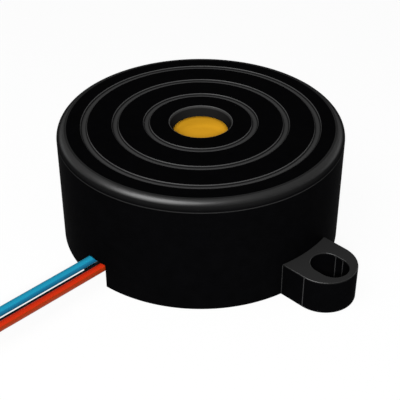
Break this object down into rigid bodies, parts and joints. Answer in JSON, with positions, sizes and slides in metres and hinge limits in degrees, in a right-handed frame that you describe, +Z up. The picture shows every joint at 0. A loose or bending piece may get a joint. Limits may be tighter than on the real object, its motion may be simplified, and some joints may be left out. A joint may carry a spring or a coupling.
{
  "type": "piezo buzzer",
  "caption": "Round black piezo buzzer with concentric grooves, a central sound hole over a brass diaphragm, slotted mounting ears and coloured lead wires.",
  "frame": {"origin": "middle of the round body's bottom face, on its axis", "axes": "+Z up out of the sound hole, X through the two mounting ears, the leads leave towards -Y"},
  "size_m": [0.0414, 0.0753, 0.0127],
  "materials": {
    "case_plastic": "semi-gloss black moulded ABS",
    "cover_plastic": "satin black moulded ABS",
    "brass": "rolled, satin",
    "piezo_ceramic": "fired, matt",
    "electrode_silver": "fired silver, matt",
    "silicone": "white silicone adhesive, satin",
    "solder": "bright solder",
    "seal_silicone": "black silicone sealant, satin",
    "red_insulation": "satin extruded PVC",
    "black_insulation": "satin extruded PVC",
    "blue_insulation": "satin extruded PVC",
    "tinned_wire": "tinned copper strands"
  },
  "bodies": {
    "root": {"housing": "case_plastic", "base_cover": "cover_plastic", "diaphragm_plate": "brass", "piezo_ceramic": "piezo_ceramic", "main_electrode": "electrode_silver", "feedback_electrode": "electrode_silver", "diaphragm_adhesive": "silicone", "main_solder": "solder", "feedback_solder": "solder", "ground_solder": "solder", "lead_seal": "seal_silicone", "red_inner_lead": "red_insulation", "black_inner_lead": "black_insulation", "blue_inner_lead": "blue_insulation", "red_inner_end": "tinned_wire", "black_inner_end": "tinned_wire", "blue_inner_end": "tinned_wire", "red_lead": "red_insulation", "black_lead": "black_insulation", "blue_lead": "blue_insulation", "red_lead_coil": "red_insulation", "black_lead_coil": "black_insulation", "blue_lead_coil": "blue_insulation", "red_lead_tip": "tinned_wire", "black_lead_tip": "tinned_wire", "blue_lead_tip": "tinned_wire"}
  },
  "joints": []
}
